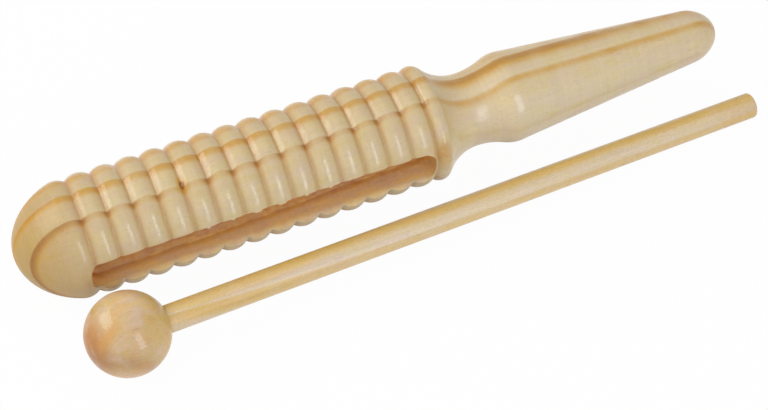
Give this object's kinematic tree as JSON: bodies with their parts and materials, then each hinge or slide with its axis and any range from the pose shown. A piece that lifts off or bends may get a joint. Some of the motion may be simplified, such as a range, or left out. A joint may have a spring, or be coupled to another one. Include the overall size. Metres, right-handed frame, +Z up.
{
  "type": "reco-reco scraper with beater",
  "caption": "Turned pine scraper with a ridged barrel, a sound slot and a tapered handle, lying beside a wooden beater with a ball head.",
  "frame": {"origin": "on the table, under the middle of the box round the scraper and its beater", "axes": "+X along the scraper from its domed nose to its handle, +Y across the table away from the slot and the beater, +Z up from the table"},
  "size_m": [0.2764, 0.0768, 0.043],
  "materials": {
    "body_pine": "satin clear varnish over pale pine",
    "stick_wood": "satin clear varnish over straight-grained dowel",
    "ball_wood": "satin clear varnish over a turned ball"
  },
  "bodies": {
    "scraper": {"ridged_body": "body_pine"},
    "beater": {"beater_stick": "stick_wood", "beater_ball": "ball_wood"}
  },
  "joints": [
    {"name": "scrape_stroke", "type": "slide", "parent": "scraper", "child": "beater", "axis": [1, 0, 0], "range_m": [-0.063, 0.063]}
  ]
}
